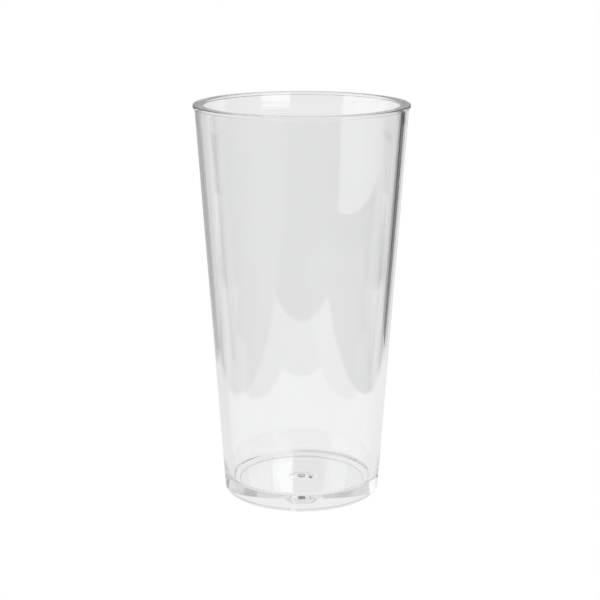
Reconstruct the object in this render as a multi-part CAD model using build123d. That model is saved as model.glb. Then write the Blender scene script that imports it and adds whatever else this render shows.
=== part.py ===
from build123d import *
import os

# A clear, moulded pint glass: one moulding, split into the zones named on its drawing.
# Millimetres, +Z up. The origin is the middle of the circle that the glass stands on.

# Driving dimensions: the whole glass
height = 161.0                # table to the top of the lip
rim_diameter = 86.8           # across the rim bead, the widest place
foot_diameter = 63.4          # outside of the wall, carried down to the table
wall = 3.4                    # wall thickness, measured level
floor_top = 6.5               # table to the floor inside

# Rim bead
bead_height = 1.5             # top of the lip to the step under the bead
bead_projection = 0.6         # how far the bead stands out from the line of the wall
lip_round = 0.45              # radius on both edges of the lip
bead_under_round = 0.4        # radius under the bead

# Foot and underside
foot_corner = 2.5             # outer corner radius at the table
standing_width = 3.0          # width of the flat ring that touches the table
standing_round = 0.25         # radius on the inner edge of that flat ring
recess_depth = 0.8            # table to the ceiling of the recess underneath
recess_round = 0.3            # radius between the recess's wall and its ceiling
floor_round = 2.0             # radius between the floor and the wall inside
round_margin = 0.3            # straight stretch left beside each of these radii

# Gate: a shallow well in the recess's ceiling, with the stub that the gate leaves
well_diameter = 10.0          # mouth of the well
well_depth = 2.2              # ceiling of the recess to the flat crown of the well
gate_diameter = 3.0           # the stub, which hangs from the middle of the crown
gate_clearance = 0.4          # how far the stub's end stays inside the mouth of the well
gate_round = 0.5              # radius on the free end of the stub
crown_land = 1.8              # flat crown left all round the stub

# Places that follow from those sizes
rim_radius = rim_diameter / 2
foot_radius = foot_diameter / 2
flare = (rim_radius - bead_projection - foot_radius) / height   # outward run per unit of rise
bead_step = height - bead_height
recess_radius = foot_radius - foot_corner - standing_width
split_radius = recess_radius - recess_round - round_margin
split_height = floor_top + floor_round + round_margin
well_crown = recess_depth + well_depth
crown_radius = gate_diameter / 2 + crown_land


def outside(level):
    """Outer radius of the wall at a height above the table."""
    return foot_radius + flare * level


def inside(level):
    """Inner radius of the wall at a height above the table."""
    return outside(level) - wall


def corner_round(profile, corner, radius):
    """Round the corner of a profile that stands at a given radius and height."""
    found = profile.vertices().sort_by_distance(Vector(corner[0], corner[1], 0))[0]
    return fillet(found, radius)


def turned(profile):
    """Turn a profile, drawn as radius and height, once round the axis of the glass."""
    return revolve(Plane.XZ * profile, Axis.Z)


def rim_bead():
    """The lip, with its rounded top and the small step that stands proud of the wall."""
    profile = make_face(Polyline(
        (inside(bead_step), bead_step),
        (outside(bead_step), bead_step),
        (rim_radius, bead_step),
        (rim_radius, height),
        (inside(height), height),
        close=True,
    ))
    profile = corner_round(profile, (rim_radius, bead_step), bead_under_round)
    profile = corner_round(profile, (rim_radius, height), lip_round)
    profile = corner_round(profile, (inside(height), height), lip_round)
    return turned(profile)


def side_wall():
    """The even, tapered wall between the foot and the bead."""
    return turned(make_face(Polyline(
        (inside(split_height), split_height),
        (outside(split_height), split_height),
        (outside(bead_step), bead_step),
        (inside(bead_step), bead_step),
        close=True,
    )))


def foot_ring():
    """The ring that the glass stands on, up to the end of the radius inside."""
    profile = make_face(Polyline(
        (split_radius, floor_top),
        (split_radius, recess_depth),
        (recess_radius, recess_depth),
        (recess_radius, 0),
        (outside(0), 0),
        (outside(split_height), split_height),
        (inside(split_height), split_height),
        (inside(floor_top), floor_top),
        close=True,
    ))
    profile = corner_round(profile, (outside(0), 0), foot_corner)
    profile = corner_round(profile, (recess_radius, 0), standing_round)
    profile = corner_round(profile, (recess_radius, recess_depth), recess_round)
    floor_room = inside(floor_top) - split_radius - round_margin
    profile = corner_round(profile, (inside(floor_top), floor_top), min(floor_round, floor_room))
    return turned(profile)


def base_floor():
    """The floor inside the foot ring, with the gate's well in its underside."""
    return turned(make_face(Polyline(
        (0, floor_top),
        (0, well_crown),
        (crown_radius, well_crown),
        (well_diameter / 2, recess_depth),
        (split_radius, recess_depth),
        (split_radius, floor_top),
        close=True,
    )))


def gate_vestige():
    """The short stub that the moulding gate leaves on the crown of the well."""
    stub_end = recess_depth + gate_clearance
    profile = make_face(Polyline(
        (0, well_crown),
        (gate_diameter / 2, well_crown),
        (gate_diameter / 2, stub_end),
        (0, stub_end),
        close=True,
    ))
    profile = corner_round(profile, (gate_diameter / 2, stub_end), gate_round)
    return turned(profile)


zones = {
    "rim_bead": rim_bead(),
    "side_wall": side_wall(),
    "foot_ring": foot_ring(),
    "base_floor": base_floor(),
    "gate_vestige": gate_vestige(),
}

os.makedirs("parts", exist_ok=True)
for name, zone in zones.items():
    export_step(zone, f"parts/{name}.step")
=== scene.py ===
"""A clear, moulded pint glass, standing empty on a plain white board in a small studio.

The glass is one moulding, so its five CAD zones are shown as one seamless body of revolution,
with a finish of its own on the polished wall, on the foot and underside, and on the gate mark,
whose grey tint is painted shade.
Everything is in metres, in the frame of the CAD model: +Z up, origin in the middle of the foot.
"""

import logging
import math
from dataclasses import dataclass, field
from enum import Enum

import bpy
import numpy as np
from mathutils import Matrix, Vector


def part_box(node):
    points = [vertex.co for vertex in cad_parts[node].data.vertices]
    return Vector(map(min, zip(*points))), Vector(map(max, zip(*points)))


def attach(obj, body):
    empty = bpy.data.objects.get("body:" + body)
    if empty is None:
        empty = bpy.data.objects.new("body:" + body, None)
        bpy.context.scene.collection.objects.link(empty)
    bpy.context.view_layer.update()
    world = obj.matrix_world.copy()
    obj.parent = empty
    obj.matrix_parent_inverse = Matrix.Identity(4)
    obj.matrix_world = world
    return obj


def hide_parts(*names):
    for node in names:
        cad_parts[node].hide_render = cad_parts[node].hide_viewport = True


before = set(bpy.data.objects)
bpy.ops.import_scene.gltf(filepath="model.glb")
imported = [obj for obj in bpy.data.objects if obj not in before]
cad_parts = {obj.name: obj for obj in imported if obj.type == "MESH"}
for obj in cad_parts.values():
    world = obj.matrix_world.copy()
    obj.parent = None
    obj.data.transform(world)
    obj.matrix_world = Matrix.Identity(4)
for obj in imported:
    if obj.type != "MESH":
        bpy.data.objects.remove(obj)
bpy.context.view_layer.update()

LOG = logging.getLogger("pint_glass")
MM = 0.001

# Where the studio's cards lie: three levels just under the foot of the glass, and the two ends
# of the stretch of floor behind it. The rear panels stand just in front of the rear wall.
TOP_LEVEL, MIDDLE_LEVEL, LOW_LEVEL = -0.0002, -0.0003, -0.0004
NEAR_END, FAR_END = 0.165, 1.2
REAR_WALL, REAR_PANELS = 1.30, 1.29


class Finish(Enum):
    """The finishes on the glass, in the order of its material slots."""

    POLISHED = 0
    FOOT = 1
    GATE = 2


# ---------------------------------------------------------------------------------------------
# Outlines and surfaces of revolution
# ---------------------------------------------------------------------------------------------


@dataclass(frozen=True)
class Corner:
    """A corner of an outline: its place, its rounding, and the stretch that leads to it.

    Attributes:
        radius: distance from the axis of the glass.
        level: height above the table.
        rounding: radius of the arc that rounds the corner, 0 for a sharp one.
        steps: how many straight pieces the stretch before the corner is cut into.
        finish: finish of that stretch and of the corner's arc.
    """

    radius: float
    level: float
    rounding: float = 0.0
    steps: int = 1
    finish: Finish = Finish.POLISHED


def rounded_corner(before: np.ndarray, corner: np.ndarray, after: np.ndarray,
                   rounding: float, steps: int) -> np.ndarray:
    """Points of the arc that is tangent to both sides of a corner.

    The arc's centre lies on the bisector, at rounding / sin(half the corner's angle), and the
    arc sweeps the angle between the two inward normals.

    Args:
        before: point before the corner.
        corner: the corner.
        after: point after the corner.
        rounding: radius of the arc.
        steps: how many straight pieces the arc is cut into.

    Returns:
        An array of (radius, level) rows, from one tangent point to the other.
    """
    back = (before - corner) / np.linalg.norm(before - corner)
    ahead = (after - corner) / np.linalg.norm(after - corner)
    half = math.acos(float(np.clip(back @ ahead, -1.0, 1.0))) / 2
    bisector = (back + ahead) / np.linalg.norm(back + ahead)
    centre = corner + bisector * rounding / math.sin(half)
    start = corner + back * rounding / math.tan(half) - centre
    end = corner + ahead * rounding / math.tan(half) - centre
    turn = math.atan2(start[0] * end[1] - start[1] * end[0], float(start @ end))
    angle = np.linspace(0.0, turn, steps + 1)[:, None]
    quarter = np.array([-start[1], start[0]])
    return centre + np.cos(angle) * start + np.sin(angle) * quarter


def outline_points(corners: list[Corner], arc_steps: int) -> tuple[np.ndarray, np.ndarray]:
    """Join corners with straight stretches and tangent arcs.

    Args:
        corners: the outline's corners, in order. The first and last stay sharp.
        arc_steps: straight pieces in each rounded corner.

    Returns:
        The (radius, level) points, and the finish number of the stretch before each point.
    """
    places = np.array([[corner.radius, corner.level] for corner in corners])
    points, finishes = [places[:1]], [np.array([corners[0].finish.value])]
    for index, corner in enumerate(corners[1:], start=1):
        inner = 0 < index < len(corners) - 1 and corner.rounding > 0
        arc = rounded_corner(places[index - 1], places[index], places[index + 1],
                             corner.rounding, arc_steps) if inner else places[index:index + 1]
        share = np.linspace(0.0, 1.0, corner.steps + 1)[1:-1, None]
        stretch = points[-1][-1] * (1 - share) + arc[0] * share
        points += [stretch, arc]
        finishes.append(np.full(len(stretch) + len(arc), corner.finish.value))
    return np.concatenate(points), np.concatenate(finishes)


def turned_mesh(name: str, points: np.ndarray, finishes: np.ndarray, around: int) -> bpy.types.Mesh:
    """Turn an outline that starts and ends on the axis once round it, into one closed mesh.

    Point (i, j) of the surface is (r_i cos a_j, r_i sin a_j, z_i), with a_j = 2 pi j / around.
    The two ends of the outline are single vertices, joined to the next ring by triangles.

    Args:
        name: name of the mesh.
        points: (radius, level) rows, from the underside's centre round to the floor's centre.
        finishes: finish number of the stretch before each point.
        around: number of steps round the axis.

    Returns:
        The mesh, with smooth shading and a material index on each face.
    """
    angle = np.arange(around) * 2 * math.pi / around
    radius, level = points[1:-1, :1], points[1:-1, 1:]
    rings = np.stack([radius * np.cos(angle), radius * np.sin(angle),
                      np.repeat(level, around, axis=1)], axis=-1)
    poles = np.array([[0.0, 0.0, points[0, 1]], [0.0, 0.0, points[-1, 1]]])
    vertices = np.concatenate([rings.reshape(-1, 3), poles])
    number = np.arange(rings.shape[0] * around).reshape(-1, around)
    beside = np.roll(number, -1, axis=1)
    quads = np.stack([number[:-1], beside[:-1], beside[1:], number[1:]], axis=-1).reshape(-1, 4)
    first, last = len(vertices) - 2, len(vertices) - 1
    under = np.stack([beside[0], number[0], np.full(around, first)], axis=-1)
    floor = np.stack([number[-1], beside[-1], np.full(around, last)], axis=-1)
    faces = quads.tolist() + under.tolist() + floor.tolist()
    mesh = bpy.data.meshes.new(name)
    mesh.from_pydata(vertices.tolist(), [], faces)
    slots = np.concatenate([np.repeat(finishes[2:-1], around), np.full(around, finishes[1]),
                            np.full(around, finishes[-1])])
    mesh.polygons.foreach_set("material_index", slots.astype(np.int32))
    mesh.polygons.foreach_set("use_smooth", np.ones(len(faces), dtype=bool))
    mesh.update()
    return mesh


# ---------------------------------------------------------------------------------------------
# Shared effects
# ---------------------------------------------------------------------------------------------


def new_group(name: str, inputs: dict[str, float], outputs: list[str]) -> bpy.types.NodeTree:
    """Start a shader node group with number sockets.

    Args:
        name: name of the group.
        inputs: input names and their default values.
        outputs: output names.

    Returns:
        The group, with its Group Input and Group Output nodes named "in" and "out".
    """
    group = bpy.data.node_groups.new(name, "ShaderNodeTree")
    for label, value in inputs.items():
        socket = group.interface.new_socket(label, in_out="INPUT", socket_type="NodeSocketFloat")
        socket.default_value = value
    for label in outputs:
        group.interface.new_socket(label, in_out="OUTPUT", socket_type="NodeSocketFloat")
    group.nodes.new("NodeGroupInput").name = "in"
    group.nodes.new("NodeGroupOutput").name = "out"
    return group


def math_node(tree: bpy.types.NodeTree, operation: str, first: object, second: object = 0.0,
              clamp: bool = False) -> bpy.types.NodeSocket:
    """Add a Math node and feed it.

    Args:
        tree: node tree that gets the node.
        operation: name of the operation.
        first: a number or a socket.
        second: a number or a socket.
        clamp: keep the result between 0 and 1.

    Returns:
        The node's output socket.
    """
    node = tree.nodes.new("ShaderNodeMath")
    node.operation, node.use_clamp = operation, clamp
    for socket, value in zip(node.inputs, (first, second)):
        if isinstance(value, bpy.types.NodeSocket):
            tree.links.new(value, socket)
        else:
            socket.default_value = value
    return node.outputs[0]


def stretched_noise(tree: bpy.types.NodeTree, squeeze: tuple[float, float, float], scale: object,
                    detail: float) -> bpy.types.NodeSocket:
    """Noise on Object coordinates, squeezed along the axes.

    Args:
        tree: node tree that gets the nodes.
        squeeze: how much the coordinates are multiplied by along X, Y and Z.
        scale: number or socket for the noise's scale.
        detail: octaves of finer noise.

    Returns:
        The noise value, about 0.5 on average.
    """
    place = tree.nodes.new("ShaderNodeTexCoord")
    mapping = tree.nodes.new("ShaderNodeMapping")
    mapping.inputs["Scale"].default_value = squeeze
    noise = tree.nodes.new("ShaderNodeTexNoise")
    noise.inputs["Detail"].default_value = detail
    tree.links.new(place.outputs["Object"], mapping.inputs["Vector"])
    tree.links.new(mapping.outputs["Vector"], noise.inputs["Vector"])
    if isinstance(scale, bpy.types.NodeSocket):
        tree.links.new(scale, noise.inputs["Scale"])
    else:
        noise.inputs["Scale"].default_value = scale
    return noise.outputs["Fac"]


def ripple_group() -> bpy.types.NodeTree:
    """The long, shallow waves that cooling leaves on a moulded wall, drawn out along its height."""
    group = new_group("moulded_ripple", {"Density": 30.0, "Depth": 1.0}, ["Height"])
    inside, outside = group.nodes["in"], group.nodes["out"]
    wave = stretched_noise(group, (1.0, 1.0, 0.35), inside.outputs["Density"], 1.0)
    centred = math_node(group, "SUBTRACT", wave, 0.5)
    height = math_node(group, "MULTIPLY", centred, inside.outputs["Depth"])
    group.links.new(height, outside.inputs["Height"])
    return group


def scuff_group() -> bpy.types.NodeTree:
    """Faint handling marks: sparse patches of fine, slanted hairlines, as a mask from 0 to 1."""
    group = new_group("handling_scuffs", {"Density": 900.0, "Amount": 1.0}, ["Mask"])
    inside, outside = group.nodes["in"], group.nodes["out"]
    hairline_cut, hairline_gain = 0.60, 9.0
    patch_scale, patch_cut, patch_gain = 55.0, 0.48, 5.0
    detail = 2.0
    hairline = stretched_noise(group, (1.0, 0.25, 0.12), inside.outputs["Density"], detail)
    patch = stretched_noise(group, (1.0, 1.0, 1.0), patch_scale, detail)
    sharp = math_node(group, "MULTIPLY", math_node(group, "SUBTRACT", hairline, hairline_cut),
                      hairline_gain, True)
    sparse = math_node(group, "MULTIPLY", math_node(group, "SUBTRACT", patch, patch_cut),
                       patch_gain, True)
    mask = math_node(group, "MULTIPLY", math_node(group, "MULTIPLY", sharp, sparse),
                     inside.outputs["Amount"], True)
    group.links.new(mask, outside.inputs["Mask"])
    return group


def place_group(tree: bpy.types.NodeTree, group: bpy.types.NodeTree,
                values: dict[str, float]) -> bpy.types.Node:
    """Put a node group into a tree and set its inputs.

    Args:
        tree: node tree that gets the group.
        group: the group.
        values: input names and values.

    Returns:
        The group node.
    """
    node = tree.nodes.new("ShaderNodeGroup")
    node.node_tree = group
    for label, value in values.items():
        node.inputs[label].default_value = value
    return node


@dataclass(frozen=True)
class ClearPlastic:
    """Clear moulded plastic with ripples, faint scuffs and a trace of haze.

    Attributes:
        name: name of the material.
        tint: colour of the light that passes through.
        ior: index of refraction.
        polish: roughness of the cleanest surface.
        haze: roughness that a full scuff adds.
        ripple_density: waves for each metre, roughly.
        ripple_depth: height of a full wave, in metres.
        scuff_amount: how strongly scuffs show, from 0 to 1.
    """

    name: str
    tint: tuple[float, float, float] = (0.985, 0.99, 0.988)
    ior: float = 1.585
    polish: float = 0.01
    haze: float = 0.08
    ripple_density: float = 30.0
    ripple_depth: float = 0.00004
    scuff_amount: float = 0.3

    def material(self, ripple: bpy.types.NodeTree, scuffs: bpy.types.NodeTree) -> bpy.types.Material:
        """Build the material from the shared effects.

        Args:
            ripple: the moulded ripple group.
            scuffs: the handling scuffs group.

        Returns:
            The material.
        """
        made = bpy.data.materials.new(self.name)
        made.use_nodes = True
        tree = made.node_tree
        shader = tree.nodes["Principled BSDF"]
        shader.inputs["Base Color"].default_value = (*self.tint, 1.0)
        shader.inputs["IOR"].default_value = self.ior
        shader.inputs["Transmission Weight"].default_value = 1.0
        waves = place_group(tree, ripple, {"Density": self.ripple_density,
                                           "Depth": self.ripple_depth})
        marks = place_group(tree, scuffs, {"Amount": self.scuff_amount})
        rough = math_node(tree, "ADD", math_node(tree, "MULTIPLY", marks.outputs["Mask"], self.haze),
                          self.polish)
        tree.links.new(rough, shader.inputs["Roughness"])
        bump = tree.nodes.new("ShaderNodeBump")
        bump.inputs["Strength"].default_value = 1.0
        bump.inputs["Distance"].default_value = 1.0
        tree.links.new(waves.outputs["Height"], bump.inputs["Height"])
        tree.links.new(bump.outputs["Normal"], shader.inputs["Normal"])
        return made


# ---------------------------------------------------------------------------------------------
# The glass
# ---------------------------------------------------------------------------------------------


@dataclass
class Tumbler:
    """The moulded glass, as one seamless body of revolution.

    Heights and the radii of the zones come from the CAD zones; the roundings are the moulding's.

    Attributes:
        wall: wall thickness, measured level.
        bead_projection: how far the rim bead stands out from the line of the wall.
        lip_round: radius on both edges of the lip.
        bead_under_round: radius under the bead.
        bead_hollow: radius of the hollow between the bead and the wall.
        foot_corner: outer corner radius at the table.
        standing_width: width of the flat ring that touches the table.
        standing_round: radius on the inner edge of that ring.
        recess_round: radius between the recess's wall and its ceiling.
        floor_round: radius between the floor and the wall inside.
        well_radius: radius of the gate well's mouth.
        crown_land: flat crown left round the gate stub.
        well_round: radius round the mouth and the crown of the well.
        gate_round: radius on the free end of the stub.
        wall_steps: pieces that each long side of the wall is cut into.
        ceiling_steps: pieces that the recess's ceiling is cut into.
        corner_steps: pieces in the flat ring that touches the table.
        floor_steps: pieces from the radius inside to the middle of the floor.
        arc_steps: pieces in each rounded corner.
        around: steps round the axis.
    """

    wall: float = 3.4 * MM
    bead_projection: float = 0.6 * MM
    lip_round: float = 0.45 * MM
    bead_under_round: float = 0.4 * MM
    bead_hollow: float = 0.15 * MM
    foot_corner: float = 2.5 * MM
    standing_width: float = 3.0 * MM
    standing_round: float = 0.25 * MM
    recess_round: float = 0.3 * MM
    floor_round: float = 2.0 * MM
    well_radius: float = 5.0 * MM
    crown_land: float = 1.8 * MM
    well_round: float = 0.5 * MM
    gate_round: float = 0.5 * MM
    foot_radius: float = 31.7 * MM
    wall_steps: int = 24
    ceiling_steps: int = 10
    corner_steps: int = 2
    floor_steps: int = 12
    arc_steps: int = 9
    around: int = 288

    def corners(self) -> list[Corner]:
        """The corners of the glass's section, from the gate stub out, up, over the lip and in."""
        bead_low, bead_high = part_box("rim_bead")
        base_low, base_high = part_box("base_floor")
        gate_low, gate_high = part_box("gate_vestige")
        height, bead_step = bead_high.z, bead_low.z
        rim_radius, gate_radius = bead_high.x, gate_high.x
        flare = (rim_radius - self.bead_projection - self.foot_radius) / height
        recess_radius = self.foot_radius - self.foot_corner - self.standing_width
        ceiling, floor, crown = base_low.z, base_high.z, gate_high.z

        def outside(level: float) -> float:
            """Outer radius of the wall at a height."""
            return self.foot_radius + flare * level

        def inside(level: float) -> float:
            """Inner radius of the wall at a height."""
            return outside(level) - self.wall

        return [
            Corner(0.0, gate_low.z, finish=Finish.GATE),
            Corner(gate_radius, gate_low.z, self.gate_round, finish=Finish.GATE),
            Corner(gate_radius, crown, self.gate_round / 2, finish=Finish.GATE),
            Corner(gate_radius + self.crown_land, crown, self.well_round, finish=Finish.FOOT),
            Corner(self.well_radius, ceiling, self.well_round, finish=Finish.FOOT),
            Corner(recess_radius, ceiling, self.recess_round, self.ceiling_steps,
                   Finish.FOOT),
            Corner(recess_radius, 0.0, self.standing_round, finish=Finish.FOOT),
            Corner(self.foot_radius, 0.0, self.foot_corner, self.corner_steps, Finish.FOOT),
            Corner(outside(bead_step), bead_step, self.bead_hollow, self.wall_steps),
            Corner(rim_radius, bead_step, self.bead_under_round),
            Corner(rim_radius, height, self.lip_round),
            Corner(inside(height), height, self.lip_round),
            Corner(inside(floor), floor, self.floor_round, self.wall_steps),
            Corner(0.0, floor, steps=self.floor_steps),
        ]

    def build(self) -> bpy.types.Object:
        """Build the glass's mesh and put it on the root body in place of its CAD zones.

        Returns:
            The glass.
        """
        points, finishes = outline_points(self.corners(), self.arc_steps)
        glass = bpy.data.objects.new("tumbler", turned_mesh("tumbler", points, finishes, self.around))
        bpy.context.scene.collection.objects.link(glass)
        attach(glass, "root")
        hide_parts("rim_bead", "side_wall", "foot_ring", "base_floor", "gate_vestige")
        return glass

    def dress(self, glass: bpy.types.Object) -> None:
        """Give the glass its three finishes, in the order of its material slots.

        Args:
            glass: the glass.
        """
        ripple, scuffs = ripple_group(), scuff_group()
        finishes = {
            Finish.POLISHED: ClearPlastic("polished_clear_plastic"),
            Finish.FOOT: ClearPlastic("foot_clear_plastic", polish=0.015, scuff_amount=0.5),
            # The gate's grey tint is painted shade: it darkens the stub to give the gate mark its
            # dark look. Its higher roughness and scuffing are the gate's own finish.
            Finish.GATE: ClearPlastic("gate_plastic_painted_shade", tint=(0.30, 0.30, 0.30), polish=0.12,
                                      scuff_amount=0.8),
        }
        for place in Finish:
            glass.data.materials.append(finishes[place].material(ripple, scuffs))


# ---------------------------------------------------------------------------------------------
# The studio
# ---------------------------------------------------------------------------------------------


def straight_ray_factor(tree: bpy.types.NodeTree) -> bpy.types.NodeSocket:
    """1 for a line of sight that nothing has mirrored yet, straight or through the glass, else 0."""
    path = tree.nodes.new("ShaderNodeLightPath")
    return math_node(tree, "LESS_THAN", path.outputs["Glossy Depth"], 0.5)


def tone_by_ray(tree: bpy.types.NodeTree, seen: float, through: object, mirrored: float
                ) -> bpy.types.NodeSocket:
    """A tone that depends on how the line of sight got there.

    Args:
        tree: node tree that gets the nodes.
        seen: tone in plain view.
        through: number or socket for the tone seen through the glass.
        mirrored: tone seen in a reflection.

    Returns:
        The tone's socket.
    """
    path = tree.nodes.new("ShaderNodeLightPath")
    camera = path.outputs["Is Camera Ray"]
    straight = straight_ray_factor(tree)
    extra = math_node(tree, "SUBTRACT", seen, through)
    plain = math_node(tree, "ADD", math_node(tree, "MULTIPLY", camera, extra), through)
    lit = math_node(tree, "MULTIPLY", straight, plain)
    turned = math_node(tree, "MULTIPLY", math_node(tree, "SUBTRACT", 1.0, straight), mirrored)
    return math_node(tree, "ADD", lit, turned)


def plane_mesh(name: str, corners: np.ndarray) -> bpy.types.Mesh:
    """A flat four-cornered mesh, whose UV map runs from 0 to 1 along its first two sides.

    Args:
        name: name of the mesh.
        corners: four (x, y, z) rows, in order round the plane.

    Returns:
        The mesh.
    """
    mesh = bpy.data.meshes.new(name)
    mesh.from_pydata(corners.tolist(), [], [[0, 1, 2, 3]])
    spread = mesh.uv_layers.new(name="spread")
    spread.data.foreach_set("uv", [0.0, 0.0, 1.0, 0.0, 1.0, 1.0, 0.0, 1.0])
    mesh.update()
    return mesh


def stage_plane(name: str, corners: np.ndarray) -> tuple[bpy.types.Object, bpy.types.NodeTree]:
    """Put a plane on the stage, with an empty material.

    Args:
        name: name of the object, its mesh and its material.
        corners: four (x, y, z) rows, in order round the plane.

    Returns:
        The plane, and its material's node tree.
    """
    plane = bpy.data.objects.new(name, plane_mesh(name, corners))
    bpy.context.scene.collection.objects.link(plane)
    made = bpy.data.materials.new(name)
    made.use_nodes = True
    made.node_tree.nodes.clear()
    plane.data.materials.append(made)
    return plane, made.node_tree


def map_range(tree: bpy.types.NodeTree, value: bpy.types.NodeSocket, start: tuple[float, float],
              end: tuple[float, float]) -> bpy.types.NodeSocket:
    """Map a value in a straight line, held at both ends.

    Args:
        tree: node tree that gets the node.
        value: the value.
        start: a value, and what it becomes.
        end: a higher value, and what it becomes.

    Returns:
        The mapped value's socket.
    """
    node = tree.nodes.new("ShaderNodeMapRange")
    for label, number in zip(("From Min", "To Min", "From Max", "To Max"), (*start, *end)):
        node.inputs[label].default_value = number
    tree.links.new(value, node.inputs["Value"])
    return node.outputs["Result"]


@dataclass(frozen=True)
class Card:
    """A flat card that only shows in reflections, as one just outside the picture does.

    Attributes:
        name: name of the card.
        corners: its four corners, in order round it, in metres.
        tone: brightness at its first side, from the first corner to the fourth.
        end_tone: brightness at the opposite side, when the card fades from one to the other.
    """

    name: str
    corners: tuple[tuple[float, float, float], ...]
    tone: float
    end_tone: float | None = None

    def build(self) -> None:
        """Build the card and its light, which a straight line of sight passes through."""
        _, tree = stage_plane(self.name, np.array(self.corners))
        light = tree.nodes.new("ShaderNodeEmission")
        light.inputs["Strength"].default_value = self.tone
        if self.end_tone is not None:
            place = tree.nodes.new("ShaderNodeTexCoord")
            split = tree.nodes.new("ShaderNodeSeparateXYZ")
            tree.links.new(place.outputs["UV"], split.inputs[0])
            fade = map_range(tree, split.outputs["X"], (0.0, self.tone), (1.0, self.end_tone))
            tree.links.new(fade, light.inputs["Strength"])
        clear = tree.nodes.new("ShaderNodeBsdfTransparent")
        mix = tree.nodes.new("ShaderNodeMixShader")
        end = tree.nodes.new("ShaderNodeOutputMaterial")
        tree.links.new(straight_ray_factor(tree), mix.inputs[0])
        tree.links.new(light.outputs[0], mix.inputs[1])
        tree.links.new(clear.outputs[0], mix.inputs[2])
        tree.links.new(mix.outputs[0], end.inputs["Surface"])


def floor_card(name: str, low: tuple[float, float], high: tuple[float, float], level: float,
               tone: float, end_tone: float | None = None) -> Card:
    """A level card, which may fade from left to right.

    Args:
        name: name of the card.
        low: left and near end, as (x, y).
        high: right and far end, as (x, y).
        level: height of the card.
        tone: brightness at its left side.
        end_tone: brightness at its right side, when it fades.

    Returns:
        The card.
    """
    return Card(name, ((low[0], low[1], level), (high[0], low[1], level),
                       (high[0], high[1], level), (low[0], high[1], level)), tone, end_tone)


def upright_card(name: str, low: tuple[float, float], high: tuple[float, float], depth: float,
                 tone: float, end_tone: float | None = None) -> Card:
    """An upright card that faces the camera, which may fade from bottom to top.

    Args:
        name: name of the card.
        low: left and bottom end, as (x, z).
        high: right and top end, as (x, z).
        depth: the card's y.
        tone: brightness at the bottom.
        end_tone: brightness at the top, when it fades.

    Returns:
        The card.
    """
    return Card(name, ((low[0], depth, low[1]), (low[0], depth, high[1]),
                       (high[0], depth, high[1]), (high[0], depth, low[1])), tone, end_tone)


def behind_card(name: str, near: tuple[float, float], far: tuple[float, float], level: float,
                tone: float, end_tone: float | None = None) -> Card:
    """A level card on the stretch of floor behind the glass, which may fade across.

    Args:
        name: name of the card.
        near: x of its first and second side at the near end.
        far: x of its first and second side at the far end.
        level: height of the card.
        tone: brightness along the first side.
        end_tone: brightness along the second, when the card fades.

    Returns:
        The card.
    """
    return Card(name, ((near[0], NEAR_END, level), (near[1], NEAR_END, level),
                       (far[1], FAR_END, level), (far[0], FAR_END, level)), tone, end_tone)


def sector_card(name: str, start: float, turns: tuple[float, float], level: float, tone: float,
                end_tone: float | None = None) -> Card:
    """A level card behind the glass, between two directions from one of its sides.

    Args:
        name: name of the card.
        start: x of the side of the glass that the directions start from.
        turns: the two directions, in degrees from straight back, positive to the right.
        level: height of the card.
        tone: brightness along the first direction.
        end_tone: brightness along the second, when the card fades.

    Returns:
        The card.
    """
    first, second = (math.tan(math.radians(turn)) for turn in turns)
    return behind_card(name, (start + NEAR_END * first, start + NEAR_END * second),
                       (start + FAR_END * first, start + FAR_END * second), level, tone, end_tone)


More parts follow.
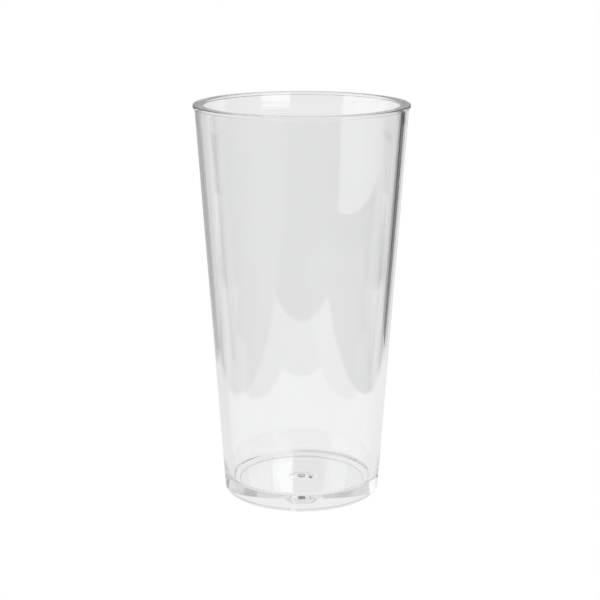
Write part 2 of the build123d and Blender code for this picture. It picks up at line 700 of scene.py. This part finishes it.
@dataclass
class Studio:
    """The plain floor, the white surroundings and the cards that shape the reflections.

    Attributes:
        seen: tone of the floor and surroundings in plain view.
        through: their tone through the glass.
        mirrored: their tone in reflections, where the studio is dark.
        shade: tone of the floor through the glass, under its foot.
        shade_reach: distances from the axis at which that shade starts to fade and ends.
        shadow: how much darker the floor is in the contact shadow beside the foot.
        shadow_reach: distances from the axis where that shadow starts, is full, fades and ends.
        shadow_side: places across the floor where that shadow starts and is full.
        floor_size: half the width of the floor.
        floor_drop: gap between the foot of the glass and the floor.
        cards: the cards.
    """

    seen: float = 1.0
    through: float = 0.92
    mirrored: float = 0.04
    shade: float = 0.90
    shade_reach: tuple[float, float] = (0.033, 0.055)
    shadow: float = 0.26
    shadow_reach: tuple[float, float, float, float] = (0.0310, 0.0325, 0.0345, 0.0410)
    shadow_side: tuple[float, float] = (-0.006, 0.000)
    floor_size: float = 12.0
    floor_drop: float = 0.0006
    cards: list[Card] = field(default_factory=lambda: [
        floor_card("board", (-0.142, -0.235), (0.143, NEAR_END), MIDDLE_LEVEL, 0.78, 0.86),
        floor_card("board_left_wing", (-0.300, 0.040), (-0.142, NEAR_END), MIDDLE_LEVEL, 0.60),
        floor_card("board_right_wing", (0.143, 0.040), (0.300, NEAR_END), MIDDLE_LEVEL, 0.60),
        floor_card("caustic", (-0.038, 0.040), (0.038, 0.062), TOP_LEVEL, 0.89, 0.92),
        floor_card("left_floor", (-0.90, -1.20), (-0.142, NEAR_END), LOW_LEVEL, 0.25),
        floor_card("rear_floor", (-0.50, NEAR_END), (0.50, 1.25), LOW_LEVEL, 0.80),
        behind_card("left_flag", (-0.092, -0.107), (-0.273, -0.525), TOP_LEVEL, 0.34),
        sector_card("left_fade", -0.040, (-22.0, -36.0), TOP_LEVEL, 0.34, 0.70),
        sector_card("left_wall", -0.040, (-36.0, -64.0), TOP_LEVEL, 0.70),
        behind_card("right_flag", (0.137, 0.174), (0.625, 1.012), TOP_LEVEL, 0.05),
        sector_card("right_wall", 0.040, (39.0, 64.0), TOP_LEVEL, 0.42, 0.55),
        Card("left_softbox", ((-0.70, -0.57, 0.055), (-0.70, 0.47, 0.055),
                              (-0.70, 0.47, 0.80), (-0.70, -0.57, 0.80)), 1.1),
        upright_card("front_right_light", (0.20, 0.182), (0.92, 0.60), -0.80, 1.5),
        floor_card("overhead", (-3.00, -1.50), (3.00, 1.30), 1.50, 0.75),
        upright_card("rear_wall", (-4.00, 0.0), (4.00, 1.50), REAR_WALL, 0.58, 0.80),
        upright_card("rear_strip", (-0.088, 0.38), (-0.025, 0.58), REAR_PANELS, 1.25),
        upright_card("rear_left_glow", (-0.24, 0.38), (-0.088, 0.58), REAR_PANELS, 0.90),
        upright_card("rear_right_glow", (0.07, 0.38), (0.17, 0.58), REAR_PANELS, 0.88),
        upright_card("rear_right_panel", (0.68, 0.30), (1.12, 0.70), REAR_PANELS, 0.52),
        upright_card("rear_left_panel", (-0.90, 0.40), (-0.46, 0.75), REAR_PANELS, 0.60),
    ])

    def build_world(self) -> None:
        """Light the surroundings: white in plain view, a dark studio in reflections."""
        world = bpy.data.worlds.new("studio")
        world.use_nodes = True
        tree = world.node_tree
        tone = tone_by_ray(tree, self.seen, self.through, self.mirrored)
        tree.links.new(tone, tree.nodes["Background"].inputs["Strength"])
        tree.nodes["Background"].inputs["Color"].default_value = (1.0, 1.0, 1.0, 1.0)
        bpy.context.scene.world = world

    def build_floor(self) -> None:
        """Build the plain pale floor, a hair below the foot of the glass."""
        side, drop = self.floor_size, -self.floor_drop
        _, tree = stage_plane("floor", np.array([[-side, -side, drop], [side, -side, drop],
                                                 [side, side, drop], [-side, side, drop]]))
        glow = tree.nodes.new("ShaderNodeEmission")
        end = tree.nodes.new("ShaderNodeOutputMaterial")
        place = tree.nodes.new("ShaderNodeTexCoord")
        away = tree.nodes.new("ShaderNodeVectorMath")
        away.operation = "LENGTH"
        tree.links.new(place.outputs["Object"], away.inputs[0])
        shade = map_range(tree, away.outputs["Value"], (self.shade_reach[0], self.shade),
                          (self.shade_reach[1], self.through))
        sides = tree.nodes.new("ShaderNodeSeparateXYZ")
        tree.links.new(place.outputs["Object"], sides.inputs[0])
        start, full, fade, gone = self.shadow_reach
        shadow = math_node(tree, "MINIMUM",
                           map_range(tree, away.outputs["Value"], (start, 0.0), (full, 1.0)),
                           map_range(tree, away.outputs["Value"], (fade, 1.0), (gone, 0.0)))
        shadow = math_node(tree, "MULTIPLY", shadow, map_range(
            tree, sides.outputs["X"], (self.shadow_side[0], 0.0), (self.shadow_side[1], self.shadow)))
        tone = tone_by_ray(tree, self.seen, math_node(tree, "SUBTRACT", shade, shadow), self.mirrored)
        tree.links.new(tone, glow.inputs["Strength"])
        tree.links.new(glow.outputs[0], end.inputs["Surface"])

    def build(self) -> None:
        """Build the world, the floor and the cards."""
        self.build_world()
        self.build_floor()
        for card in self.cards:
            card.build()


@dataclass
class View:
    """The camera and how its picture is developed.

    Attributes:
        distance: level distance from the axis of the glass to the camera.
        height: height of the camera above the table.
        aside: how far the camera stands to the left of the glass's axis.
        pitch: angle that the camera looks down by, in degrees.
        lens: focal length, in millimetres.
        sensor: width of the sensor, in millimetres.
        clip: nearest and farthest distances that the camera sees.
        bounces: how often a line of sight may turn.
    """

    distance: float = 0.6652
    height: float = 0.2417
    aside: float = 0.00069
    pitch: float = 13.625
    lens: float = 100.39
    sensor: float = 36.0
    clip: tuple[float, float] = (0.01, 100.0)
    bounces: int = 64

    def build(self) -> None:
        """Place the camera and set how light is traced and shown."""
        scene = bpy.context.scene
        data = bpy.data.cameras.new("camera")
        data.sensor_width = self.sensor
        data.lens = self.lens
        data.clip_start, data.clip_end = self.clip
        camera = bpy.data.objects.new("camera", data)
        camera.location = (-self.aside, -self.distance, self.height)
        camera.rotation_euler = (math.radians(90.0 - self.pitch), 0.0, 0.0)
        scene.collection.objects.link(camera)
        scene.camera = camera
        scene.view_settings.view_transform = "Standard"
        scene.view_settings.look = "None"
        scene.cycles.max_bounces = self.bounces
        scene.cycles.transmission_bounces = self.bounces
        scene.cycles.glossy_bounces = self.bounces
        scene.cycles.transparent_max_bounces = self.bounces


def main() -> None:
    """Build the camera, the glass and the studio, and log the glass's face count and the number of
    cards.
    """
    View().build()
    LOG.info("camera placed")
    tumbler = Tumbler()
    glass = tumbler.build()
    tumbler.dress(glass)
    LOG.info("tumbler: %d faces", len(glass.data.polygons))
    studio = Studio()
    studio.build()
    LOG.info("studio: %d cards", len(studio.cards))


if __name__ == "__main__":
    logging.basicConfig(level=logging.INFO, format="%(name)s: %(message)s")
    main()
